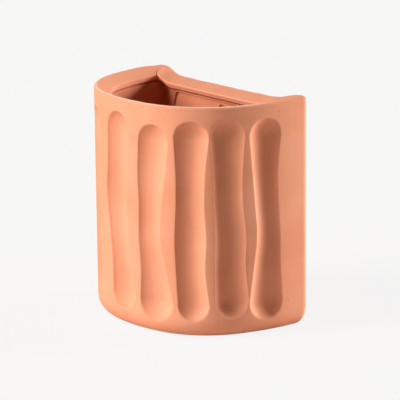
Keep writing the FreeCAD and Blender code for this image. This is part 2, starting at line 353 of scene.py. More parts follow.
@dataclass(frozen=True)
class Terracotta:
    """Unglazed earthenware, hand built, sponged smooth and fired once.

    The eye gets a dry, chalky skin: almost no gloss, a fine sandy grain, slow drifts of tone from
    uneven drying, faint upright drags of the gouge, and a few dark pits and pale grains of grog.
    """

    body: str = "#F1A07B"
    deep: str = "#EE9B75"
    bloom: str = "#F3A581"
    pit: str = "#B0664A"
    grog: str = "#FBC9AA"
    # Pale colour painted along the crest as a highlight
    rubbed: str = "#FFDAC0"
    roughness: float = 0.82
    drift_size: float = 45 * MM
    drift_stops: tuple[float, float, float] = (0.34, 0.5, 0.68)
    drag_width: float = 3 * MM
    drag_squash: float = 0.05
    grain_size: float = 0.9 * MM
    grain_contrast: float = 0.03
    pit_spacing: float = 9 * MM
    pit_reach: float = 0.055
    bare_share: float = 0.55
    pit_share: float = 0.6
    sponge_size: float = 5 * MM
    sponge_relief: float = 0.25 * MM
    grain_relief: float = 0.06 * MM
    gloss: float = 0.28

    def material(self, name: str) -> bpy.types.Material:
        """Build the node material.

        Args:
            name: Name of the material.

        Returns:
            The material, patterned on Object coordinates.
        """
        made = bpy.data.materials.new(name)
        tree = bare_tree(made)
        place = add_node(tree, "ShaderNodeTexCoord").outputs["Object"]
        # Slow drifts of tone from uneven drying and firing
        drift = add_node(tree, "ShaderNodeTexNoise", vector=place, scale=1 / self.drift_size,
                         detail=3.0, roughness=0.55)
        tone = add_node(tree, "ShaderNodeValToRGB", fac=drift.outputs["Fac"])
        stops = tone.color_ramp.elements
        stops.new(self.drift_stops[1])
        for stop, position, code in zip(stops, self.drift_stops,
                                        (self.deep, self.body, self.bloom)):
            stop.position, stop.color = position, linear(code)
        # Upright drags of tool and sponge, twenty times as long as they are wide
        stretched = add_node(tree, "ShaderNodeMapping", vector=place,
                             scale=(1.0, 1.0, self.drag_squash))
        drags = add_node(tree, "ShaderNodeTexNoise", vector=stretched.outputs[0],
                         scale=1 / self.drag_width, detail=2.0)
        # Sandy grain, drawn larger than real grains of 0.2 to 0.5 mm so that it shows
        grain = add_node(tree, "ShaderNodeTexNoise", vector=place, scale=1 / self.grain_size,
                         detail=3.0, roughness=0.6)
        mottled = add_node(tree, "ShaderNodeMath", {"operation": "ADD"},
                           in_0=grain.outputs["Fac"], in_1=drags.outputs["Fac"])
        lift = add_node(tree, "ShaderNodeMapRange", value=mottled.outputs[0], from_min=0.6,
                        from_max=1.4, to_min=1 - self.grain_contrast,
                        to_max=1 + self.grain_contrast)
        toned = add_node(tree, "ShaderNodeMix", {"data_type": "RGBA", "blend_type": "MULTIPLY"},
                         in_0=1.0, in_6=tone.outputs["Color"], in_7=lift.outputs[0])
        # Dark pits and pale grog: one candidate in each cell, up to 1 mm across
        cells = add_node(tree, "ShaderNodeTexVoronoi", vector=place, scale=1 / self.pit_spacing)
        chance = add_node(tree, "ShaderNodeSeparateColor", color=cells.outputs["Color"])
        size = add_node(tree, "ShaderNodeMapRange", value=chance.outputs[0],
                        from_min=self.bare_share, from_max=1.0, to_min=0.0,
                        to_max=self.pit_reach)
        speck = add_node(tree, "ShaderNodeMath", {"operation": "LESS_THAN"},
                         in_0=cells.outputs["Distance"], in_1=size.outputs[0])
        which = add_node(tree, "ShaderNodeMath", {"operation": "GREATER_THAN"},
                         in_0=chance.outputs[1], in_1=self.pit_share)
        speck_colour = add_node(tree, "ShaderNodeMix", {"data_type": "RGBA"},
                                in_0=which.outputs[0], in_6=linear(self.pit),
                                in_7=linear(self.grog))
        # Painted highlight: the crest is made paler where the piece carries that attribute
        edge = add_node(tree, "ShaderNodeAttribute", {"attribute_name": "rubbed"})
        highlighted = add_node(tree, "ShaderNodeMix", {"data_type": "RGBA"}, in_0=edge.outputs["Fac"],
                         in_6=toned.outputs[2], in_7=linear(self.rubbed))
        specked = add_node(tree, "ShaderNodeMix", {"data_type": "RGBA"}, in_0=speck.outputs[0],
                           in_6=highlighted.outputs[2], in_7=speck_colour.outputs[2])
        # Relief: the grain over a soft print of the sponge
        sponge = add_node(tree, "ShaderNodeTexNoise", vector=place, scale=1 / self.sponge_size,
                          detail=2.0)
        soft = add_node(tree, "ShaderNodeBump", strength=0.12, distance=self.sponge_relief,
                        height=sponge.outputs["Fac"])
        sandy = add_node(tree, "ShaderNodeBump", strength=0.22, distance=self.grain_relief,
                         height=grain.outputs["Fac"], normal=soft.outputs[0])
        dry = add_node(tree, "ShaderNodeMapRange", value=grain.outputs["Fac"], from_min=0.3,
                       from_max=0.7, to_min=self.roughness - 0.05, to_max=self.roughness + 0.07)
        skin = add_node(tree, "ShaderNodeBsdfPrincipled", base_color=specked.outputs[2],
                        roughness=dry.outputs[0], ior=1.5, specular_ior_level=self.gloss,
                        normal=sandy.outputs[0])
        add_node(tree, "ShaderNodeOutputMaterial", surface=skin.outputs[0])
        return made


@dataclass(frozen=True)
class MouldedRubber:
    """Black nitrile rubber, compression moulded.

    The eye gets a soft dark grey with a broad dull sheen, a fine mould grain and a trace of dust.
    """

    body: str = "#2B2A29"
    dust: str = "#3B3733"
    roughness: float = 0.62
    dust_size: float = 4 * MM
    grain_size: float = 0.4 * MM
    grain_relief: float = 0.03 * MM

    def material(self, name: str) -> bpy.types.Material:
        """Build the node material.

        Args:
            name: Name of the material.

        Returns:
            The material, patterned on Object coordinates.
        """
        made = bpy.data.materials.new(name)
        tree = bare_tree(made)
        place = add_node(tree, "ShaderNodeTexCoord").outputs["Object"]
        # Dust in patches
        patches = add_node(tree, "ShaderNodeTexNoise", vector=place, scale=1 / self.dust_size,
                           detail=3.0)
        tone = add_node(tree, "ShaderNodeMix", {"data_type": "RGBA"},
                        in_0=patches.outputs["Fac"], in_6=linear(self.body),
                        in_7=linear(self.dust))
        # Grain of the mould
        grain = add_node(tree, "ShaderNodeTexNoise", vector=place, scale=1 / self.grain_size,
                         detail=2.0)
        relief = add_node(tree, "ShaderNodeBump", strength=0.2, distance=self.grain_relief,
                          height=grain.outputs["Fac"])
        skin = add_node(tree, "ShaderNodeBsdfPrincipled", base_color=tone.outputs[2],
                        roughness=self.roughness, ior=1.52, specular_ior_level=0.45,
                        normal=relief.outputs[0])
        add_node(tree, "ShaderNodeOutputMaterial", surface=skin.outputs[0])
        return made


# ---------------------------------------------------------------------------------------------
# Plan and sections that the clay pieces share
# ---------------------------------------------------------------------------------------------


@dataclass(frozen=True)
class Plan:
    """Half-round outline of the pot: straight flanks, flank arcs, shoulders, flatter front."""

    width: float = 200 * MM
    depth: float = 127 * MM
    height: float = 208 * MM
    flank_straight: float = 16.5 * MM
    flank_turn: float = 18.0
    shoulder_radius: float = 80.5 * MM
    front_turn: float = 24.0
    corner_radius: float = 7 * MM
    wall: float = 14 * MM
    back_wall: float = 10 * MM
    draft: float = 1 * MM
    foot_radius: float = 19 * MM
    foot_land: float = 6 * MM
    cove_radius: float = 9 * MM
    floor_top: float = 15 * MM
    foot_recess: float = 3 * MM

    @property
    def half(self) -> float:
        """Half of the pot's width."""
        return self.width / 2

    @property
    def back(self) -> float:
        """Y of the flat back."""
        return self.depth / 2

    @property
    def inner_foot(self) -> float:
        """Inset of the foot ring's inner side."""
        return self.draft + self.foot_radius + self.foot_land

    def arcs(self) -> list[tuple[float, float, float, float, float]]:
        """Right half of the curved front, from the flank to the middle of the front.

        Returns:
            Arcs as (centre x, centre y, radius, start turn, end turn), turns in radians from +X
            towards -Y.
        """
        flank, front = math.radians(self.flank_turn), math.radians(90 - self.front_turn / 2)
        reach = self.depth - self.flank_straight
        x_left = self.half - self.shoulder_radius * (math.cos(flank) - math.cos(front))
        y_left = reach - self.shoulder_radius * (math.sin(front) - math.sin(flank))
        det = (1 - math.cos(flank)) * (1 - math.sin(front)) - math.cos(front) * math.sin(flank)
        flank_r = (x_left * (1 - math.sin(front)) - y_left * math.cos(front)) / det
        front_r = ((1 - math.cos(flank)) * y_left - math.sin(flank) * x_left) / det
        x0, y0 = self.half - flank_r, self.back - self.flank_straight
        x1 = x0 + math.cos(flank) * (flank_r - self.shoulder_radius)
        y1 = y0 - math.sin(flank) * (flank_r - self.shoulder_radius)
        x2 = x1 + math.cos(front) * (self.shoulder_radius - front_r)
        y2 = y1 - math.sin(front) * (self.shoulder_radius - front_r)
        return [(x0, y0, flank_r, 0.0, flank), (x1, y1, self.shoulder_radius, flank, front),
                (x2, y2, front_r, front, math.pi / 2)]

    def half_run(self) -> float:
        """Length of the outline from the middle of the front round to the back."""
        return self.flank_straight + sum(r * (end - start) for _, _, r, start, end in self.arcs())

    def trace(self, run: np.ndarray) -> tuple[np.ndarray, np.ndarray, np.ndarray]:
        """Follow the outline from the middle of the front, towards +X where the run is positive.

        Args:
            run: Lengths along the outline.

        Returns:
            Points (x, y), outward directions (x, y) and curvatures, one for each length.
        """
        left = np.abs(run)
        point = np.zeros(left.shape + (2,))
        outward = np.zeros(left.shape + (2,))
        bend = np.zeros(left.shape)
        done = np.zeros(left.shape, bool)
        passed = 0.0
        for x, y, radius, start, end in reversed(self.arcs()):
            span = radius * (end - start)
            here = ~done & (left <= passed + span)
            turn = end - (left[here] - passed) / radius
            outward[here] = np.stack([np.cos(turn), -np.sin(turn)], -1)
            point[here] = np.array([x, y]) + outward[here] * radius
            bend[here] = 1 / radius
            done |= here
            passed += span
        flat = ~done
        outward[flat] = (1.0, 0.0)
        point[flat, 0] = self.half
        point[flat, 1] = self.back - self.flank_straight + left[flat] - passed
        mirror = np.stack([np.where(run < 0, -1.0, 1.0), np.ones_like(run)], -1)
        return point * mirror, outward * mirror, bend

    def round_corner(self, points: np.ndarray) -> np.ndarray:
        """Bend the square back corners round, so that insets from the corner's edge are kept.

        Args:
            points: Array of shape (..., 3).

        Returns:
            The points, moved where they lie in a corner.
        """
        r = self.corner_radius
        sign = np.where(points[..., 0] < 0, -1.0, 1.0)
        a = np.abs(points[..., 0]) - (self.half - r)
        b = points[..., 1] - (self.back - r)
        inside = (a > 0) & (b > 0)
        reach = np.maximum(a, b)
        length = np.where(inside, np.hypot(a, b), 1.0)
        scale = np.where(inside, reach / length, 1.0)
        bent = points.copy()
        bent[..., 0] = np.where(inside, sign * (self.half - r + a * scale), points[..., 0])
        bent[..., 1] = np.where(inside, self.back - r + b * scale, points[..., 1])
        return bent


@dataclass(frozen=True)
class RimSection:
    """Section of the rim strip: a round crest, an inward bevel and an undercut lip."""

    crest_radius: float = 1.6 * MM
    run: float = 16 * MM
    drop: float = 7.5 * MM
    face: float = 4.2 * MM
    edge_radius: float = 1.2 * MM
    undercut: float = 24.0
    hang: float = 1.3 * MM
    hang_width: float = 1.5 * MM

    def slope(self) -> float:
        """Angle of the bevel under level, in degrees."""
        return math.degrees(math.atan2(self.drop, self.run))

    def crest(self, height: float, radius: float) -> tuple[float, float]:
        """Place of a crest that is tangent to the outer face and to the bevel.

        Args:
            height: Height of the rim.
            radius: Radius to which the crest is sponged.

        Returns:
            Inset and height of the crest's centre.
        """
        tilt = math.radians(self.slope())
        start = self.crest_radius * (1 + math.sin(tilt))
        level = height - self.crest_radius * (1 - math.cos(tilt))
        return (radius, level - (radius - start) * math.tan(tilt) - radius / math.cos(tilt))

    def edge(self, height: float) -> tuple[float, float]:
        """Place of the rounded edge where the bevel turns down.

        Args:
            height: Height of the rim.

        Returns:
            Inset and height of the edge's centre.
        """
        tilt = math.radians(self.slope())
        start = self.crest_radius + self.crest_radius * math.sin(tilt)
        start_z = height - self.crest_radius + self.crest_radius * math.cos(tilt)
        inset = self.run - self.edge_radius
        length = (inset - start + self.edge_radius * math.sin(tilt)) / math.cos(tilt)
        return (inset, start_z - length * math.sin(tilt) - self.edge_radius * math.cos(tilt))

    def low(self, height: float) -> float:
        """Height of the lip's underside, where the rim strip sits on the wall."""
        return self.edge(height)[1] + self.edge_radius - self.face

    def points(self, height: float, radius: float) -> list[tuple[float, float]]:
        """Closed section from the outer joint over the crest and down the lip.

        Args:
            height: Height of the crest.
            radius: Radius to which the crest is sponged.

        Returns:
            Points as (inset, height).
        """
        edge, low = self.edge(height), self.low(height)
        over_crest = arc_points(self.crest(height, radius), radius, 0, 90 + self.slope(), 11)
        over_edge = arc_points(edge, self.edge_radius, 90 + self.slope(), 180 + self.undercut, 8)
        turn = over_edge[-1]
        drop = turn[1] - low + self.hang
        under = (turn[0] - drop * math.tan(math.radians(self.undercut)), low - self.hang)
        return (even_steps((0, low), over_crest[0], 12) + over_crest
                + even_steps(over_crest[-1], over_edge[0], 18)[1:] + over_edge
                + even_steps(turn, under, 6)[1:] + [under]
                + even_steps((under[0] - self.hang_width, low), (0, low), 10))


@dataclass(frozen=True)
class Flute:
    """One gouged flute: a scoop that swells, narrows and sways up the wall."""

    place: float
    top_gap: float
    foot_rise: float
    stations: tuple[tuple[float, float], ...]

    def ends(self, wall_top: float) -> tuple[float, float]:
        """Heights of the centres of the flute's round ends, foot and top."""
        return (self.foot_rise + self.stations[0][1] * MM,
                wall_top - self.top_gap - self.stations[-1][1] * MM)

    def line(self, heights: np.ndarray, half_run: float,
             wall_top: float) -> tuple[np.ndarray, np.ndarray]:
        """Middle line and half width of the flute.

        Args:
            heights: Heights to read.
            half_run: Half the length of the outline.
            wall_top: Height of the joint with the rim strip.

        Returns:
            Run of the middle line and half width, one of each for each height.
        """
        low, high = self.ends(wall_top)
        share = (heights - low) / (high - low)
        sway = flowing([s for s, _ in self.stations], share) * MM
        half = flowing([h for _, h in self.stations], share) * MM
        return self.place * half_run + sway, half


FLUTES = (
    Flute(-0.743, 3.5 * MM, 15 * MM,
          ((0, 15.5), (-1, 13.5), (-2, 11.5), (0.5, 12), (1, 13), (1, 15))),
    Flute(-0.524, 4 * MM, 17 * MM,
          ((-2, 15), (-1, 13.5), (0, 14), (1, 12.5), (0.5, 13.5), (0.5, 15))),
    Flute(-0.305, 6 * MM, 19 * MM,
          ((0, 15), (0, 13.5), (-0.5, 13), (0.5, 13), (0.5, 14), (0.5, 15.5))),
    Flute(-0.053, 2.5 * MM, 18 * MM,
          ((5.5, 16), (2.5, 13.5), (-1, 14), (-3.5, 15.5), (-1.5, 15), (0, 15.5))),
    Flute(0.176, 8 * MM, 14 * MM,
          ((2.5, 17.5), (0, 14), (-4, 12), (-3, 12.5), (-1.5, 15), (1, 16))),
    Flute(0.374, 3 * MM, 17 * MM,
          ((2, 14), (-0.5, 13), (-0.5, 14), (-0.5, 12.5), (0, 13), (1, 15.5))),
    Flute(0.556, 0.8 * MM, 18.5 * MM,
          ((3, 15.5), (1.5, 14), (2, 14), (0, 13), (-0.5, 13.5), (-0.5, 16))),
    Flute(0.746, 3.5 * MM, 14.5 * MM,
          ((0.5, 16.5), (1.5, 13.5), (3, 11.5), (1, 11.5), (-0.5, 12.5), (0, 15.5))),
)


# ---------------------------------------------------------------------------------------------
# Clay pieces
# ---------------------------------------------------------------------------------------------


@dataclass
class FrontWall:
    """Curved wall with its round foot, gouged by eight flutes that a node tree presses into it."""

    plan: Plan
    rim: RimSection
    flutes: tuple[Flute, ...] = FLUTES
    depth_share: float = 0.44
    fullness: float = 0.76
    edge_softness: float = 0.5 * MM
    slot_height: float = 3 * MM
    slot_depth: float = 3 * MM
    unevenness: float = 0.16 * MM
    unevenness_size: float = 24 * MM
    seed: int = 7
    flute_columns: int = 24
    ridge_columns: int = 5
    outer_columns: int = 18
    edge_gaps: tuple[float, ...] = (0.0, 0.35 * MM, 0.8 * MM, 1.4 * MM)
    edge_shares: tuple[float, ...] = (0.0, 0.1, 0.2, 0.3)
    fine_step: float = 0.65 * MM
    coarse_step: float = 1.5 * MM
    coarse_from: float = 42 * MM
    coarse_to: float = 172 * MM
    foot_steps: int = 34
    line_step: float = 0.05 * MM
    bend_reach: float = 16 * MM
    joint_ease: float = 1 * MM
    foot_ease: float = 3 * MM
    hand_ease_up: float = 14 * MM
    hand_ease_across: float = 12 * MM
    flank_margin: float = 10 * MM
    crease: float = 62.0

    @property
    def top(self) -> float:
        """Height of the joint with the rim strip."""
        return self.rim.low(self.plan.height)

    @property
    def line_points(self) -> int:
        """Number of points on each gouge line."""
        return int(self.top / self.line_step) + 2

    def section(self) -> tuple[list[tuple[float, float]], int]:
        """Closed section of the wall.

        Returns:
            Points as (inset, height), and how many of them, from the first, lie on the outer skin.
        """
        p = self.plan
        heights = np.concatenate([np.arange(self.top, self.coarse_to, -self.fine_step),
                                  np.arange(self.coarse_to, self.coarse_from, -self.coarse_step),
                                  np.arange(self.coarse_from, p.foot_radius, -self.fine_step)])
        skin = [(p.draft * (self.top - z) / (self.top - p.foot_radius), z) for z in heights]
        foot = arc_points((p.draft + p.foot_radius, p.foot_radius), p.foot_radius, 0, -90,
                          self.foot_steps)
        skin += foot
        cove = arc_points((p.wall + p.cove_radius, p.floor_top + p.cove_radius), p.cove_radius,
                          -90, 0, 8)
        # Joint slot under the lip: its lower edge, its lower back and its upper back
        edge = (p.wall, self.top - self.slot_height)
        low, high = ((p.wall - self.slot_depth, z) for z in (edge[1], self.top))
        inside = (even_steps(foot[-1], (p.inner_foot, 0), 4)[1:]
                  + even_steps((p.inner_foot, 0), (p.inner_foot, p.floor_top), 5)
                  + [(p.inner_foot, p.floor_top)] + cove
                  + even_steps(cove[-1], edge, 14)[1:] + even_steps(edge, low, 2)
                  + even_steps(low, high, 2) + even_steps(high, (0, self.top), 4))
        return skin + inside, len(skin)

    def columns(self, heights: np.ndarray) -> tuple[np.ndarray, np.ndarray]:
        """Runs of the mesh's columns, which follow the flutes' edges up the wall.

        Args:
            heights: Height of each row.

        Returns:
            Runs, of shape (columns, rows), and the number of the flute nearest to each column.
        """
        end = self.plan.half_run() - self.plan.back_wall
        edges = []
        for flute in self.flutes:
            middle, half = flute.line(heights, self.plan.half_run(), self.top)
            edges += [middle - half, middle + half]
        stops = [np.full_like(heights, -end), *edges, np.full_like(heights, end)]
        runs, nearest = [], []
        for i, (start, stop) in enumerate(zip(stops, stops[1:])):
            in_flute = i % 2 == 1
            outermost = i in (0, len(stops) - 2)
            plain = self.outer_columns if outermost else self.ridge_columns
            count = self.flute_columns if in_flute else plain
            close = np.minimum(np.array(self.edge_gaps)[:, None],
                               np.array(self.edge_shares)[:, None] * (stop - start))
            share = np.linspace(0, 1, count)[1:-1, None]
            middle = (start + close[-1]) * (1 - share) + (stop - close[-1]) * share
            runs += [start + close, middle, stop - close[:0:-1]]
            added = sum(len(part) for part in runs[-3:])
            nearest += [(i - 1 + (2 * k >= added and not in_flute)) // 2 for k in range(added)]
        runs.append(stops[-1][None])
        nearest = np.clip([*nearest, nearest[-1]], 0, len(self.flutes) - 1)
        return np.concatenate(runs), nearest

    def blank(self) -> bpy.types.Object:
        """Lay the wall before it is gouged.

        Returns:
            The wall, with the attributes that the node tree reads.
        """
        p = self.plan
        section, skin_points = self.section()
        inset = np.array([i for i, _ in section])
        height = np.array([z for _, z in section])
        runs, nearest = self.columns(height)
        point, outward, _ = p.trace(runs)
        xy = point - outward * inset[:, None]
        flat, rows = np.zeros(runs.shape), np.broadcast_to(height, runs.shape)
        mesh = ring_mesh("gouged_wall", np.concatenate([xy, rows[..., None]], -1))
        skin = np.zeros_like(height)
        skin[:skin_points] = (
            smooth_step(self.top, self.top - self.joint_ease, height[:skin_points])
            * smooth_step(0, self.foot_ease, height[:skin_points]))
        from_end = p.half_run() - p.back_wall - np.abs(runs)
        hand = (skin * smooth_step(0, self.hand_ease_up, self.top - height)
                * smooth_step(0, self.hand_ease_across, from_end))
        keep_values(mesh, "unrolled", np.stack([runs, flat, rows], -1))
        keep_values(mesh, "outward", np.concatenate([outward, flat[..., None]], -1))
        for name, values in (("skin", skin), ("hand", hand), ("flute", nearest[:, None]),
                             ("bend", self.bends()[nearest, None]),
                             ("recess", inset - p.draft * (1 - height / p.height))):
            keep_values(mesh, name, np.broadcast_to(values, runs.shape))
        return piece_from("gouged_wall", mesh)

    def bends(self) -> np.ndarray:
        """Measure how the wall bends under the flutes.

        Returns:
            Mean curvature of the wall across each flute.
        """
        across = np.linspace(-self.bend_reach, self.bend_reach, 33)
        middles = np.array([flute.place for flute in self.flutes]) * self.plan.half_run()
        return self.plan.trace(middles[:, None] + across)[2].mean(1)

    def gouge_lines(self) -> bpy.types.Object:
        """Lay the middle lines of the flutes on the unrolled wall.

        Every line has one point for each step up the wall. Past a round end, its points stay at
        the end's centre.

        Returns:
            Object of loose points that carry the flute's half width.
        """
        places, halves = [], []
        for flute in self.flutes:
            heights = np.clip(np.arange(self.line_points) * self.line_step, *flute.ends(self.top))
            middle, half = flute.line(heights, self.plan.half_run(), self.top)
            places.append(np.stack([middle, np.zeros_like(half), heights], -1))
            halves.append(half)
        mesh = bpy.data.meshes.new("gouge_lines")
        mesh.from_pydata(np.concatenate(places).tolist(), [], [])
        keep_values(mesh, "half_width", np.concatenate(halves))
        return piece_from("gouge_lines", mesh)

    def gouge_tree(self) -> bpy.types.NodeTree:
        """Node tree that scoops round flutes out of the wall along the gouge lines.

        Returns:
            The geometry node tree, with named inputs for its sizes.
        """
        tree = bpy.data.node_groups.new("gouged_flutes", "GeometryNodeTree")
        tree.is_modifier = True
        face = tree.interface
        face.new_socket("Wall", in_out="INPUT", socket_type="NodeSocketGeometry")
        for name, kind in (("Gouge Lines", "Object"), ("Line Points", "Int"),
                           ("Line Step", "Float"), ("Depth Share", "Float"),
                           ("Fullness", "Float"), ("Edge Softness", "Float"),
                           ("Unevenness", "Float"), ("Unevenness Size", "Float"),
                           ("Seed", "Int"), ("Clay", "Material")):
            face.new_socket(name, in_out="INPUT", socket_type="NodeSocket" + kind)
        face.new_socket("Wall", in_out="OUTPUT", socket_type="NodeSocketGeometry")
        given = add_node(tree, "NodeGroupInput").outputs

        def stored(name: str, kind: str) -> bpy.types.NodeSocket:
            """Read an attribute of the wall or of the gouge lines."""
            reader = add_node(tree, "GeometryNodeInputNamedAttribute", {"data_type": kind},
                              name=name)
            return reader.outputs[0]

        def maths(operation: str, first: object, second: object = 0.0) -> bpy.types.NodeSocket:
            """Join two values by one operation."""
            return add_node(tree, "ShaderNodeMath", {"operation": operation}, in_0=first,
                            in_1=second).outputs[0]

        unrolled = stored("unrolled", "FLOAT_VECTOR")
        lines = add_node(tree, "GeometryNodeObjectInfo",
                         object=given["Gouge Lines"]).outputs["Geometry"]
        # Number of the point that is level with the wall's, on the line of the nearest flute
        height = add_node(tree, "ShaderNodeSeparateXYZ", vector=unrolled).outputs["Z"]
        level = maths("ROUND", maths("DIVIDE", height, given["Line Step"]))
        nearest = maths("ADD", level,
                        maths("MULTIPLY", stored("flute", "FLOAT"), given["Line Points"]))
        where = add_node(tree, "GeometryNodeInputPosition").outputs[0]
        middle = add_node(tree, "GeometryNodeSampleIndex", {"data_type": "FLOAT_VECTOR"},
                          geometry=lines, value=where, index=nearest).outputs[0]
        half = add_node(tree, "GeometryNodeSampleIndex", {"data_type": "FLOAT"}, geometry=lines,
                        value=stored("half_width", "FLOAT"), index=nearest).outputs[0]
        apart = add_node(tree, "ShaderNodeVectorMath", {"operation": "SUBTRACT"},
                         in_0=unrolled, in_1=middle).outputs[0]
        flat = add_node(tree, "ShaderNodeVectorMath", {"operation": "MULTIPLY"}, in_0=apart,
                        in_1=(1.0, 0.0, 1.0)).outputs[0]
        off = add_node(tree, "ShaderNodeVectorMath", {"operation": "LENGTH"},
                       in_0=flat).outputs["Value"]
        # Round scoop: 1 on its middle line, 0 at its edges, with sides that steepen to the edge
        deep = maths("MULTIPLY", half, given["Depth Share"])
        half_square = maths("MULTIPLY", half, half)
        off_square = maths("MULTIPLY", off, off)
        inner = maths("SUBTRACT", 1.0, maths("DIVIDE", off_square, half_square))
        full = maths("POWER", maths("MAXIMUM", inner, 0.0), given["Fullness"])
        scoop = maths("MULTIPLY", deep, maths("ADD", full, maths("MINIMUM", inner, 0.0)))
        swell = maths("MULTIPLY", maths("SUBTRACT", half_square, off_square),
                      maths("MULTIPLY", stored("bend", "FLOAT"), 0.5))
        depth = maths("SUBTRACT", maths("ADD", scoop, swell), stored("recess", "FLOAT"))
        # Soft edge: no depth far outside, the scoop's depth inside, rounded in between
        soft_square = maths("MULTIPLY", given["Edge Softness"], given["Edge Softness"])
        root = maths("SQRT", maths("ADD", maths("MULTIPLY", depth, depth), soft_square))
        rounded = maths("MULTIPLY", maths("ADD", depth, root), 0.5)
        cut = maths("MULTIPLY", rounded, stored("skin", "FLOAT"))
        # Hand unevenness, always inwards so that the wall keeps its size, and none at a joint
        finer = maths("DIVIDE", 1.0, given["Unevenness Size"])
        wander = add_node(tree, "ShaderNodeTexNoise", {"noise_dimensions": "4D"}, vector=where,
                          w=given["Seed"], scale=finer, detail=2.0).outputs[0]
        dents = maths("MULTIPLY", maths("MULTIPLY", wander, given["Unevenness"]),
                      stored("hand", "FLOAT"))
        inward = maths("MULTIPLY", maths("ADD", cut, dents), -1.0)
        push = add_node(tree, "ShaderNodeVectorMath", {"operation": "SCALE"},
                        in_0=stored("outward", "FLOAT_VECTOR"), scale=inward).outputs[0]
        moved = add_node(tree, "GeometryNodeSetPosition", geometry=given["Wall"], offset=push)
        solid = add_node(tree, "GeometryNodeRealizeInstances", geometry=moved.outputs[0])
        clad = add_node(tree, "GeometryNodeSetMaterial", geometry=solid.outputs[0],
                        material=given["Clay"])
        add_node(tree, "NodeGroupOutput", in_0=clad.outputs[0])
        return tree

    def build(self, clay: Clay) -> None:
        """Gouge the wall, make it a plain mesh and hand it over.

        Args:
            clay: Finishes of the clay.
        """
        wall, lines = self.blank(), self.gouge_lines()
        tree = self.gouge_tree()
        modifier = wall.modifiers.new("gouged_flutes", "NODES")
        modifier.node_group = tree
        sizes = {"Gouge Lines": lines, "Line Points": self.line_points,
                 "Line Step": self.line_step, "Depth Share": self.depth_share,
                 "Fullness": self.fullness, "Edge Softness": self.edge_softness,
                 "Unevenness": self.unevenness, "Unevenness Size": self.unevenness_size,
                 "Seed": self.seed, "Clay": clay.outside}
        for item in tree.interface.items_tree:
            if item.in_out == "INPUT" and item.name in sizes:
                modifier[item.identifier] = sizes[item.name]
        wall = settle(wall, self.crease)
        bpy.data.objects.remove(lines)
        for name in ("unrolled", "outward", "skin", "hand", "flute", "bend", "recess"):
            wall.data.attributes.remove(wall.data.attributes[name])
        lowest, widest = self.plan.floor_top + HAIR, self.plan.half - self.flank_margin
        # Faces inside the pot take the darker clay: painted shade
        paint_inside_shade(wall.data, lambda centre, normal: centre.z > lowest and abs(centre.x) < widest
                    and normal.x * centre.x + normal.y * (centre.y - self.plan.back) < 0)
        hand_over(wall, Body.POT, Slot.CLAY, (clay.outside, clay.inside), "front_wall")


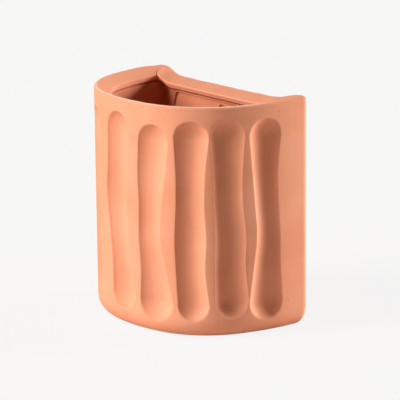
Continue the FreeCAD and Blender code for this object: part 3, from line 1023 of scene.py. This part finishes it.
@dataclass
class RimStrips:
    """The two rim strips: one round the curved wall, one over the back wall, mitred together."""

    plan: Plan
    rim: RimSection
    back_run: float = 20 * MM
    dip_crest: tuple[float, ...] = (0, 0.7, 5.5, 7.6, 7.9, 8.3, 8.1, 8, 7.9, 7.9, 7.9, 7.9, 7.8,
                                    7.6, 7.25, 7.45, 6.85, 5.5, 2.8, 0.3, 0)
    dip_edge: float = 4.5 * MM
    dip_under: float = 4.3 * MM
    dip_end: dict[Side, float] = field(
        default_factory=lambda: {Side.LEFT: 32 * MM, Side.RIGHT: 55 * MM})
    tail: float = 26 * MM
    bevel_ease: tuple[float, float] = (1.6 * MM, 5 * MM)
    crack_depth: float = 1.6 * MM
    crack_width: float = 0.75 * MM
    crack_start: float = 11 * MM
    crack_ease: float = 0.8 * MM
    crack_gap: float = 0.8 * MM
    crack_slant: float = 0.45
    crack_point: float = 1.5
    valley: float = 1.3 * MM
    unevenness: float = 0.35 * MM
    crest_from: int = 17
    # Painted highlight along the front strip's crest: its share over the section points from
    # crest_from, and where it fades out towards the back
    highlight_across: tuple[float, ...] = (0.3, 0.7, 1, 1, 1, 0.7, 0.3)
    highlight_start: dict[Side, float] = field(
        default_factory=lambda: {Side.LEFT: -15 * MM, Side.RIGHT: 30 * MM})
    highlight_fade: float = 40 * MM
    crest_softness: float = 2.2 * MM
    corner_softness: float = 3.6 * MM
    corner_on_front: tuple[float, float] = (0.0, 0.8)
    corner_on_back: tuple[float, float] = (0.55, 0.92)
    front_columns: int = 300
    tail_columns: tuple[int, int] = (12, 70)
    back_columns: int = 190
    corner_columns: int = 24
    corner_share: float = 0.06
    crease: float = 50.0

    def ramp(self, x: np.ndarray) -> np.ndarray:
        """How far the lip has come down, from 0 at the corners to 1 across the middle.

        Args:
            x: Places across the back.

        Returns:
            Shares of the lip's full drop.
        """
        dipped = np.ones_like(x)
        for side in Side:
            away = self.plan.half - side.value * x - self.rim.run
            share = np.clip(away / (self.dip_end[side] - self.rim.run), 0, 1)
            eased = np.where(share < 0.5, 2 * share ** 2, 1 - 2 * (1 - share) ** 2)
            dipped = np.minimum(dipped, eased)
        return dipped

    def section(self, smoothed: np.ndarray) -> tuple[np.ndarray, np.ndarray]:
        """Section of a strip in each column, its crest sponged round and rounder at one corner.

        Args:
            smoothed: Share of the corner's extra rounding in each column.

        Returns:
            Insets and heights, of shape (columns, section points).
        """
        radii = self.crest_softness + (self.corner_softness - self.crest_softness) * smoothed
        loops = np.array([self.rim.points(self.plan.height, radius) for radius in radii])
        return loops[..., 0], loops[..., 1]

    def on_bevel(self, inset: np.ndarray, height: np.ndarray) -> np.ndarray:
        """Share in which a section point belongs to the bevel: 0 at the crest and under the lip."""
        low, edge = self.rim.low(self.plan.height), self.rim.edge(self.plan.height)[1]
        return smooth_step(*self.bevel_ease, inset) * smooth_step(low, edge, height)

    def fillet(self, inset: np.ndarray, other: np.ndarray) -> np.ndarray:
        """Lift that rounds the valley where the two bevels meet at the mitre.

        Args:
            inset: Distance from the strip's own outer face.
            other: The same distance as the other strip counts it.

        Returns:
            Lift at each point.
        """
        apart = (other - inset) * self.rim.drop / self.rim.run
        return (np.sqrt(apart ** 2 + self.valley ** 2) - apart) / 2

    def crack(self, inset: np.ndarray, from_mitre: np.ndarray) -> np.ndarray:
        """Open seam, which runs from mid bevel to the lip just ahead of the mitre.

        Args:
            inset: Distance from the strip's outer face.
            from_mitre: Distance ahead of the mitre.

        Returns:
            Depth of the seam at each point.
        """
        along = smooth_step(self.crack_start - self.crack_ease,
                            self.crack_start + self.crack_ease, inset)
        middle = self.crack_gap + self.crack_slant * (self.rim.run - inset)
        open_share = np.clip(1 - np.abs(from_mitre - middle) / self.crack_width, 0, 1)
        return self.crack_depth * along * open_share ** self.crack_point

    def front(self, clay: Clay) -> None:
        """Rim strip round the curved wall.

        Args:
            clay: Finishes of the clay.
        """
        p = self.plan
        end = p.half_run() - self.tail
        middle = np.linspace(-end, end, self.front_columns)
        early, late = self.tail_columns
        share = np.concatenate([np.linspace(0, 0.5, early)[1:], np.linspace(0.5, 1, late)[1:]])
        fully = p.half_run() - self.back_run
        place = np.concatenate([-fully - share[::-1], middle, fully + share])
        tail = np.concatenate([share[::-1], np.zeros(self.front_columns), share])[:, None]
        inset, height = self.section(smooth_step(*self.corner_on_front, tail[:, 0])
                                     * (place < 0))
        k = self.rim.run / self.back_run
        mitre = inset / k
        runs = (p.half_run() - self.tail * (1 - tail) - mitre * tail) * np.sign(place)[:, None]
        runs[len(share):-len(share)] = middle[:, None]
        point, outward, _ = p.trace(runs)
        ahead = p.half_run() - np.abs(runs)
        bevel = self.on_bevel(inset, height)
        height = height + bevel * self.fillet(inset, k * ahead)
        height -= self.crack(inset, ahead - mitre) * (bevel > 0)
        loops = np.concatenate([point - outward * inset[..., None], height[..., None]], -1)
        mesh = ring_mesh("curved_rim", self.worn(p.round_corner(loops), bevel))
        # Painted highlight along the crest, fading out towards the back
        on_crest = np.zeros(inset.shape[1])
        on_crest[self.crest_from:self.crest_from + len(self.highlight_across)] = self.highlight_across
        start = np.where(point[..., 0] < 0, *(self.highlight_start[side] for side in Side))
        around = smooth_step(start, start - self.highlight_fade, point[..., 1])
        keep_values(mesh, "rubbed", on_crest * around)
        shade(mesh, self.crease)
        hand_over(piece_from("curved_rim", mesh), Body.POT, Slot.CLAY, (clay.outside,),
                  "front_rim")

    def over_back(self, clay: Clay) -> None:
        """Rim strip over the back wall, with its long dip.

        Args:
            clay: Finishes of the clay.
        """
        p = self.plan
        k = self.rim.run / self.back_run
        near = np.linspace(0, self.corner_share, self.corner_columns)[:-1]
        between = np.linspace(self.corner_share, 2 - self.corner_share, self.back_columns)
        share = np.concatenate([near, between, (2 - near)[::-1]]) - 1
        inset, height = self.section(smooth_step(*self.corner_on_back, -share))
        ahead = inset / k
        x = share[:, None] * (p.half - inset)
        depth_share = ahead / self.back_run
        low, edge = self.rim.low(p.height), self.rim.edge(p.height)[1]
        over = np.clip((height - low) / (p.height - self.corner_softness - low), 0, 1)
        over = np.where(np.arange(over.shape[1]) >= self.crest_from, 1.0, over)
        lip = (inset > self.rim.run / 2) & (height < edge)
        over = np.where(lip, (height - low) / (edge - low), over)
        over = np.where(height <= low + 1e-9, 0.0, over)
        lip_drop = self.ramp(x)
        crest_drop = flowing(self.dip_crest, (share[:, None] + 1) / 2) * MM
        upper = crest_drop + (self.dip_edge * lip_drop - crest_drop) * depth_share
        under = self.dip_under * lip_drop
        bevel = self.on_bevel(inset, height)
        z = height + bevel * self.fillet(inset, p.half - np.abs(x)) - upper * over
        z -= under * (1 - over)
        loops = p.round_corner(np.stack([x, p.back - ahead, z], -1))
        mesh = ring_mesh("dipped_rim", self.worn(loops, bevel))
        shade(mesh, self.crease)
        hand_over(piece_from("dipped_rim", mesh), Body.POT, Slot.CLAY, (clay.outside,),
                  "back_rim")

    def worn(self, loops: np.ndarray, bevel: np.ndarray) -> np.ndarray:
        """Let the bevel sink unevenly by a fraction of a millimetre, as a hand leaves it.

        Args:
            loops: Section loops of the strip.
            bevel: Share in which each section point belongs to the bevel.

        Returns:
            The loops with the bevel lowered a little here and there.
        """
        x, y = loops[..., 0] / MM, loops[..., 1] / MM
        # Three crossing waves, about 55, 20 and 7 mm long, that add up to 1 at most
        wander = (np.sin(x * 0.11 + 1.3) * np.sin(y * 0.13 + 0.4) + 0.6 * np.sin(x * 0.31 + y * 0.2)
                  + 0.35 * np.sin(x * 0.83 - y * 0.7 + 2.0)) / 1.95
        loops = loops.copy()
        loops[..., 2] -= self.unevenness * (0.5 + 0.5 * wander) * bevel
        return loops

    def build(self, clay: Clay) -> None:
        """Make both strips.

        Args:
            clay: Finishes of the clay.
        """
        self.front(clay)
        self.over_back(clay)


@dataclass
class BackWall:
    """Flat back wall with round upright corners, a dipped top and the hole for the wall hook."""

    plan: Plan
    rim: RimSection
    strips: RimStrips
    hole_radius: float = 4 * MM
    hole_height: float = 182.454 * MM
    drill_start: float = 5 * MM
    drill_length: float = 30 * MM
    dip_from: float = 150 * MM
    corner_columns: int = 19
    flat_columns: int = 150
    foot_rows: int = 14
    wall_rows: int = 40
    crease: float = 40.0

    def build(self, clay: Clay) -> None:
        """Lay the wall as columns of a closed section, bore it and hand it over.

        Args:
            clay: Finishes of the clay.
        """
        p = self.plan
        top = self.rim.low(p.height)
        turn = np.radians(np.linspace(90, 0, self.corner_columns))
        corner_x = p.half - p.corner_radius + p.corner_radius * np.sin(turn)
        corner_v = p.corner_radius - p.corner_radius * np.cos(turn)
        flat_half = p.half - p.corner_radius
        flat = np.linspace(flat_half, -flat_half, self.flat_columns)[1:-1]
        x0 = np.concatenate([corner_x, flat, -corner_x[::-1]])
        ahead0 = np.concatenate([corner_v, np.zeros_like(flat), corner_v[::-1]])
        heights = np.concatenate([np.linspace(0, p.foot_radius, self.foot_rows),
                                  np.linspace(p.foot_radius, top, self.wall_rows)[1:]])
        across = np.linspace(0, 1, 6)[1:-1]
        section = ([(0.0, z) for z in heights] + [(s, top) for s in across]
                   + [(1.0, z) for z in heights[::-1]] + [(s, 0.0) for s in across[::-1]])
        share = np.array([s for s, _ in section])
        z0 = np.array([z for _, z in section])
        inset = np.where(z0 < p.foot_radius,
                         p.draft + p.foot_radius
                         - np.sqrt(np.maximum(p.foot_radius ** 2 - (p.foot_radius - z0) ** 2, 0)),
                         p.draft * (top - z0) / (top - p.foot_radius))
        x = x0[:, None] * (p.half - inset) / p.half
        ahead = ahead0[:, None] * (1 - share) + p.back_wall * share
        under = self.strips.dip_under * self.strips.ramp(x)
        z = z0 - under * np.clip((z0 - self.dip_from) / (top - self.dip_from), 0, 1)
        mesh = ring_mesh("back_panel", np.stack([x, p.back - ahead, z], -1), len(heights))
        wall = piece_from("back_panel", mesh)
        drill = peg("hook_hole", self.hole_radius,
                    (0.0, p.back + self.drill_start, self.hole_height), self.drill_length)
        wall = bored(wall, drill, self.crease)
        front = p.back - p.back_wall + HAIR
        # The back wall's inner face takes the darker clay: painted shade inside the pot
        paint_inside_shade(wall.data, lambda centre, normal: centre.y < front and normal.y < -FACING)
        hand_over(wall, Body.POT, Slot.CLAY, (clay.outside, clay.inside), "back_wall")


def peg(name: str, radius: float, start: tuple[float, float, float], length: float,
        upright: bool = False) -> bpy.types.Object:
    """Round tool for boring a hole, level towards the front or upright.

    Args:
        name: Name of the tool's object.
        radius: Radius of the tool.
        start: Centre of its rear or lower end.
        length: Length of the tool.
        upright: True for a tool along +Z, False for one along -Y.

    Returns:
        The tool's object.
    """
    turn = Matrix.Identity(4) if upright else Matrix.Rotation(math.radians(90), 4, "X")
    middle = Vector(start) + Vector((0, 0, length / 2) if upright else (0, -length / 2, 0))
    mesh = bpy.data.meshes.new(name)
    with editing(mesh) as work:
        bmesh.ops.create_cone(work, cap_ends=True, segments=64, radius1=radius, radius2=radius,
                              depth=length, matrix=Matrix.Translation(middle) @ turn)
    return piece_from(name, mesh)


def bored(obj: bpy.types.Object, tool: bpy.types.Object, crease: float,
          softness: float = 0.0) -> bpy.types.Object:
    """Bore a piece with a tool, soften its edges and make it a plain mesh again.

    Args:
        obj: Closed piece.
        tool: Closed tool, which is removed afterwards.
        crease: Angle in degrees over which an edge stays sharp.
        softness: Width of the rounding along the piece's sharp edges.

    Returns:
        The bored piece.
    """
    cut = obj.modifiers.new("bore", "BOOLEAN")
    cut.operation, cut.object, cut.solver = "DIFFERENCE", tool, "EXACT"
    if softness:
        soft = obj.modifiers.new("soft_edges", "BEVEL")
        soft.width, soft.segments, soft.limit_method = softness, 3, "ANGLE"
        soft.angle_limit = math.radians(35)
    made = settle(obj, crease)
    bpy.data.objects.remove(tool)
    return made


def prism(name: str, outline: list[tuple[float, float, float]],
          rise: tuple[float, float, float]) -> bpy.types.Object:
    """Closed prism over a flat outline.

    Args:
        name: Name of the piece.
        outline: Corners of the flat outline.
        rise: Vector from the outline to the far face.

    Returns:
        The prism's object.
    """
    near = np.array(outline)
    far = near + np.array(rise)
    count = len(outline)
    sides = [[i, (i + 1) % count, (i + 1) % count + count, i + count] for i in range(count)]
    mesh = bpy.data.meshes.new(name)
    mesh.from_pydata(np.concatenate([near, far]).tolist(), [],
                     [list(range(count))[::-1], list(range(count, 2 * count))] + sides)
    turn_outwards(mesh)
    return piece_from(name, mesh)


@dataclass
class HangerSlab:
    """Thick slab luted to the inside of the back wall, around the hook hole."""

    plan: Plan
    rim: RimSection
    strips: RimStrips
    thickness: float = 7 * MM
    height: float = 45 * MM
    side_gap: float = 9 * MM
    side_lean: float = 15.5 * MM
    corner_radius: float = 5 * MM
    lip_gap: float = 3.2 * MM
    hole_radius: float = 4 * MM
    hole_drop: float = 7.7 * MM
    drill_length: float = 40 * MM
    crease: float = 40.0
    softness: float = 0.5 * MM
    line_from_edge: float = 0.6 * MM
    line_width: float = 1.1 * MM
    line_depth: float = 2 * MM

    def tool_line(self, mesh: bpy.types.Mesh) -> None:
        """Score a line round the slab's front, just inside its edge, where it was pressed on.

        Each step takes the frontmost face, and the largest of those. So the front inside the line
        stays as deep as the line, and the longest strip of the edge stands proud by as much.

        Args:
            mesh: Plain slab.
        """
        with editing(mesh) as work:
            for inward, sink in ((self.line_from_edge, 0.0),
                                 (self.line_width / 2, -self.line_depth),
                                 (self.line_width / 2, self.line_depth)):
                level = [f for f in work.faces if abs(f.normal.y) > FACING]
                face = max(level, key=lambda f: (round(-f.calc_center_median().y / MM),
                                                 f.calc_area()))
                bmesh.ops.inset_region(work, faces=[face], thickness=inward, depth=sink,
                                       use_even_offset=True)

    def build(self, clay: Clay) -> None:
        """Cut the slab's outline, bore it, soften it and hand it over.

        Args:
            clay: Finishes of the clay.
        """
        p = self.plan
        y = p.back - p.back_wall
        top = self.rim.low(p.height) - self.strips.dip_under - self.lip_gap
        low_half = p.half - p.wall - self.side_gap
        top_half = low_half - self.side_lean
        lean = math.degrees(math.atan2(self.height, self.side_lean))
        reach = self.corner_radius * math.tan(math.radians(lean / 2))
        x0, z0 = top_half - reach, top - self.corner_radius
        arc = [(x0 + self.corner_radius * math.cos(a), z0 + self.corner_radius * math.sin(a))
               for a in np.radians(np.linspace(90 - lean, 90, 9))]
        right = [(low_half, top - self.height)] + arc
        outline = right + [(-x, z) for x, z in reversed(right)]
        slab = prism("hook_slab", [(x, y, z) for x, z in outline], (0, -self.thickness, 0))
        self.tool_line(slab.data)
        drill = peg("slab_hole", self.hole_radius, (0.0, p.back, top - self.hole_drop),
                    self.drill_length)
        slab = bored(slab, drill, self.crease, self.softness)
        # The whole slab takes the darker clay: painted shade inside the pot
        hand_over(slab, Body.POT, Slot.CLAY, (clay.inside,), "hanger_slab")


@dataclass
class FloorSlab:
    """Floor between the walls, raised off the ground, with the drain hole."""

    plan: Plan
    drain_radius: float = 7 * MM
    drill_start: float = 5 * MM
    drill_length: float = 40 * MM
    outline_points: int = 90
    crease: float = 40.0

    @property
    def drain(self) -> tuple[float, float]:
        """Place of the drain, midway between the insides of the two walls."""
        return (0.0, (self.plan.wall - self.plan.back_wall) / 2)

    def build(self, clay: Clay) -> None:
        """Cut the floor's outline, bore the drain and hand it over.

        Args:
            clay: Finishes of the clay.
        """
        p = self.plan
        end = p.half_run() - p.flank_straight
        point, outward, _ = p.trace(np.linspace(-end, end, self.outline_points))
        curve = point - outward * p.inner_foot
        y = p.back - p.back_wall
        outline = [(-(p.half - p.inner_foot), y)] + curve.tolist() + [(p.half - p.inner_foot, y)]
        slab = prism("raised_floor", [(x, y, p.foot_recess) for x, y in outline],
                     (0, 0, p.floor_top - p.foot_recess))
        drill = peg("drain_hole", self.drain_radius, (*self.drain, -self.drill_start),
                    self.drill_length, True)
        slab = bored(slab, drill, self.crease)
        # The floor's top takes the darker clay: painted shade inside the pot
        paint_inside_shade(slab.data, lambda centre, normal: normal.z > FACING)
        hand_over(slab, Body.POT, Slot.CLAY, (clay.outside, clay.inside), "floor_slab")


@dataclass
class DrainPlug:
    """Rubber stopper with a finger flange under the floor, a neck and a tapered tip."""

    plan: Plan
    drain: tuple[float, float]
    hole_radius: float = 7 * MM
    clearance: float = 0.05 * MM
    flange_radius: float = 11 * MM
    flange: float = 2 * MM
    tip_stand: float = 3 * MM
    tip_taper: float = 1.5 * MM
    segments: int = 72
    crease: float = 40.0

    def build(self, rubber: bpy.types.Material) -> None:
        """Turn the stopper's profile round its axis and hand it over.

        Args:
            rubber: Finish of the stopper.
        """
        p = self.plan
        neck, rim = self.hole_radius - self.clearance, self.flange_radius
        foot = p.foot_recess - self.flange
        tip = neck - self.tip_taper
        top = p.floor_top + self.tip_stand
        # Radius and height, from the finger hollow under the flange to the top of the tip
        profile = [(0.0, foot + 0.5 * MM), (3 * MM, foot + 0.45 * MM), (5 * MM, foot + 0.1 * MM),
                   (6 * MM, foot), (rim - 0.8 * MM, foot), (rim - 0.25 * MM, foot + 0.2 * MM),
                   (rim, foot + 0.7 * MM), (rim, p.foot_recess - 0.5 * MM),
                   (rim - 0.4 * MM, p.foot_recess), (neck, p.foot_recess),
                   (neck, p.floor_top), (tip + 0.3 * MM, top - 0.6 * MM),
                   (tip - 0.3 * MM, top - 0.15 * MM), (tip - 0.9 * MM, top), (0.0, top)]
        mesh = bpy.data.meshes.new("stopper")
        with editing(mesh) as work:
            ring = [work.verts.new((r, 0.0, z)) for r, z in profile]
            edges = [work.edges.new(pair) for pair in zip(ring, ring[1:])]
            bmesh.ops.spin(work, geom=ring + edges, cent=(0, 0, 0), axis=(0, 0, 1),
                           angle=math.tau, steps=self.segments)
            bmesh.ops.remove_doubles(work, verts=work.verts, dist=1e-7)
            bmesh.ops.recalc_face_normals(work, faces=work.faces)
            bmesh.ops.translate(work, verts=work.verts, vec=(*self.drain, 0.0))
        shade(mesh, self.crease)
        hand_over(piece_from("stopper", mesh), Body.STOPPER, Slot.RUBBER, (rubber,), "drain_plug")


# ---------------------------------------------------------------------------------------------
# Studio
# ---------------------------------------------------------------------------------------------


@dataclass(frozen=True)
class Lamp:
    """Soft lamp far enough away to light the whole pot evenly."""

    name: str
    azimuth: float
    elevation: float
    strength: float
    softness: float


@dataclass
class Studio:
    """Plain pale floor, soft lamps and the camera at the photograph's angle."""

    aim: Vector = field(default_factory=lambda: Vector((0.0, 0.0, 103.87 * MM)))
    azimuth: float = 50.087
    elevation: float = 13.429
    distance: float = 3518.08 * MM
    shift_right: float = 17.165 * MM
    shift_up: float = 3.125 * MM
    roll: float = -0.483
    focal_pixels: float = 3976.3
    frame_pixels: int = 400
    sensor: float = 36.0
    backdrop: str = "#F6F6F6"
    paper: str = "#DFD5CE"
    glow: str = "#FBFBFB"
    fill: str = "#FFF1E8"
    fill_strength: float = 0.02
    shadow_share: float = 0.1
    view_reach: float = 50.0
    lamp_distance: float = 2.0
    floor_half: float = 12.0
    floor_drop: float = 0.2 * MM
    lamps: tuple[Lamp, ...] = (
        Lamp("key_softbox", -22, 29, 4.0, 38),
        Lamp("rear_softbox", 155, 11, 4.3, 22),
    )

    @staticmethod
    def towards(azimuth: float, elevation: float) -> Vector:
        """Direction from the pot to a viewer or a lamp."""
        a, e = math.radians(azimuth), math.radians(elevation)
        return Vector((math.sin(a) * math.cos(e), -math.cos(a) * math.cos(e), math.sin(e)))

    def camera(self) -> None:
        """Camera on the photograph's line of sight."""
        back = self.towards(self.azimuth, self.elevation)
        right = Vector((0, 0, 1)).cross(back).normalized()
        up = back.cross(right)
        roll = math.radians(self.roll)
        across = right * math.cos(roll) + up * math.sin(roll)
        above = up * math.cos(roll) - right * math.sin(roll)
        data = bpy.data.cameras.new("photo_camera")
        data.sensor_width = self.sensor
        data.lens = self.focal_pixels / self.frame_pixels * self.sensor
        data.clip_end = self.view_reach
        camera = piece_from("photo_camera", data)
        place = self.aim + back * self.distance + right * self.shift_right + up * self.shift_up
        turn = Matrix((across, above, back)).transposed().to_4x4()
        camera.matrix_world = Matrix.Translation(place) @ turn
        bpy.context.scene.camera = camera

    def light(self) -> None:
        """Soft lamps and the warm fill of a pale room."""
        for lamp in self.lamps:
            data = bpy.data.lights.new(lamp.name, "SUN")
            data.energy, data.angle = lamp.strength, math.radians(lamp.softness)
            obj = piece_from(lamp.name, data)
            way = self.towards(lamp.azimuth, lamp.elevation)
            obj.rotation_mode = "QUATERNION"
            obj.rotation_quaternion = way.to_track_quat("Z", "Y")
            obj.location = way * self.lamp_distance
        world = bpy.data.worlds.new("pale_room")
        bpy.context.scene.world = world
        tree = bare_tree(world)
        rays = add_node(tree, "ShaderNodeLightPath").outputs
        seen = add_node(tree, "ShaderNodeMath", {"operation": "MAXIMUM"},
                        in_0=rays["Is Camera Ray"], in_1=rays["Is Glossy Ray"])
        seen = add_node(tree, "ShaderNodeMath", {"operation": "MAXIMUM"}, in_0=seen.outputs[0],
                        in_1=rays["Is Transmission Ray"])
        room = add_node(tree, "ShaderNodeBackground", color=linear(self.fill),
                        strength=self.fill_strength)
        pale = add_node(tree, "ShaderNodeBackground", color=linear(self.backdrop), strength=1.0)
        both = add_node(tree, "ShaderNodeMixShader", in_0=seen.outputs[0], in_1=room.outputs[0],
                        in_2=pale.outputs[0])
        add_node(tree, "ShaderNodeOutputWorld", surface=both.outputs[0])

    def floor(self) -> None:
        """Pale seamless floor, which keeps a faint shadow and is clear from below."""
        side = self.floor_half
        mesh = bpy.data.meshes.new("studio_floor")
        mesh.from_pydata([(x * side, y * side, -self.floor_drop)
                          for x, y in ((-1, -1), (1, -1), (1, 1), (-1, 1))], [], [[0, 1, 2, 3]])
        paper = bpy.data.materials.new("seamless_paper_matt")
        tree = bare_tree(paper)
        rays = add_node(tree, "ShaderNodeLightPath").outputs
        matt = add_node(tree, "ShaderNodeBsdfDiffuse", color=linear(self.paper))
        glow = add_node(tree, "ShaderNodeEmission", color=linear(self.glow), strength=1.0)
        seen = add_node(tree, "ShaderNodeMath", {"operation": "MAXIMUM"},
                        in_0=rays["Is Camera Ray"], in_1=rays["Is Glossy Ray"])
        share = add_node(tree, "ShaderNodeMath", {"operation": "MULTIPLY"}, in_0=seen.outputs[0],
                         in_1=1 - self.shadow_share)
        front = add_node(tree, "ShaderNodeMixShader", in_0=share.outputs[0], in_1=matt.outputs[0],
                         in_2=glow.outputs[0])
        below = add_node(tree, "ShaderNodeNewGeometry").outputs["Backfacing"]
        clear = add_node(tree, "ShaderNodeBsdfTransparent")
        both = add_node(tree, "ShaderNodeMixShader", in_0=below, in_1=front.outputs[0],
                        in_2=clear.outputs[0])
        add_node(tree, "ShaderNodeOutputMaterial", surface=both.outputs[0])
        mesh.materials.append(paper)
        piece_from("studio_floor", mesh)

    def build(self) -> None:
        """Make the studio and set the plain view."""
        self.camera()
        self.light()
        self.floor()
        bpy.context.scene.view_settings.view_transform = "Standard"
        LOG.info("studio: %d lamps", len(self.lamps))


def main() -> None:
    """Build the studio and the pieces in order."""
    logging.basicConfig(level=logging.INFO, format="%(name)s %(message)s")
    Studio().build()
    # The inside copy is the same clay made darker and redder: painted shade inside the pot
    clay = Clay(Terracotta().material("terracotta_hand_built_sponged"),
                Terracotta(body="#D3805C", deep="#CC7A57", bloom="#D88663", pit="#9C5A40",
                           grog="#E5AF8C").material("terracotta_hand_built_unsponged"))
    rubber = MouldedRubber().material("nitrile_rubber_moulded")
    plan, rim = Plan(), RimSection()
    strips = RimStrips(plan, rim)
    FrontWall(plan, rim).build(clay)
    strips.build(clay)
    BackWall(plan, rim, strips).build(clay)
    HangerSlab(plan, rim, strips).build(clay)
    floor = FloorSlab(plan)
    floor.build(clay)
    DrainPlug(plan, floor.drain).build(rubber)
    bpy.context.view_layer.update()


if __name__ == "__main__":
    main()
